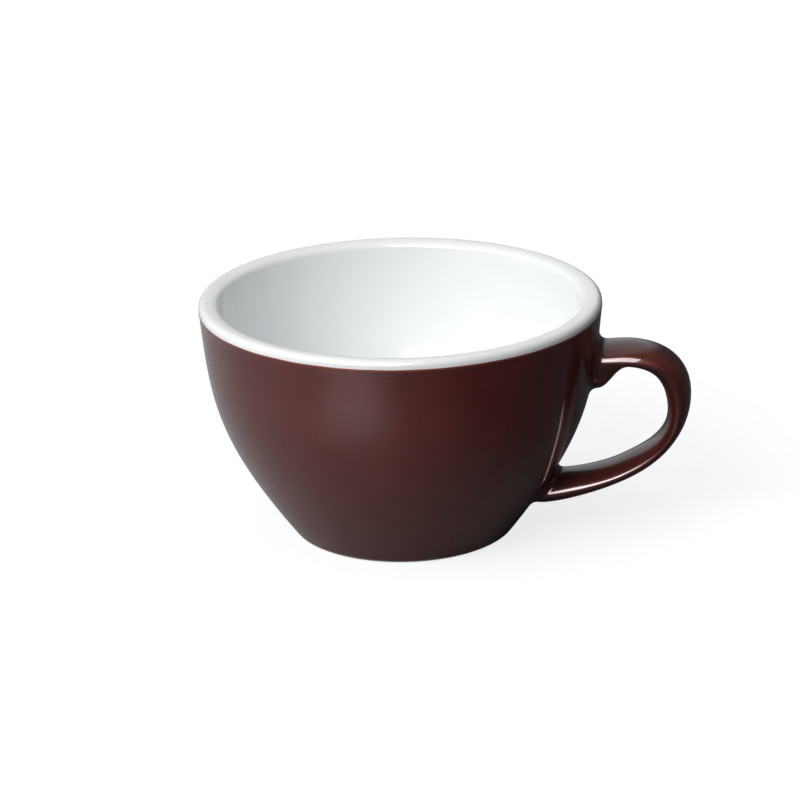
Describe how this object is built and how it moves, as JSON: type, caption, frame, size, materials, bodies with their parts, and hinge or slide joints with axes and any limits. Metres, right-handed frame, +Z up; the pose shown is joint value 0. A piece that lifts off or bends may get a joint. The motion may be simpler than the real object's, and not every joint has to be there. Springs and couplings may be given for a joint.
{
  "type": "cappuccino cup",
  "caption": "Wide low cappuccino cup with a flared bowl on a narrow foot and a loop handle, white glaze inside and glossy dark brown glaze outside.",
  "frame": {"origin": "centre of the foot ring on the table", "axes": "+Z up along the bowl's axis, +X towards the handle"},
  "size_m": [0.1221, 0.1, 0.0604],
  "materials": {
    "porcelain": "bare fired porcelain, matt",
    "slip": "fired clay slip, matt",
    "white_glaze": "white gloss glaze",
    "brown_glaze": "dark red-brown gloss glaze"
  },
  "bodies": {
    "root": {"porcelain_bowl": "porcelain", "porcelain_handle": "porcelain", "upper_slip_joint": "slip", "lower_slip_joint": "slip", "white_liner_glaze": "white_glaze", "brown_bowl_glaze": "brown_glaze", "brown_handle_glaze": "brown_glaze", "underside_glaze": "brown_glaze"}
  },
  "joints": []
}
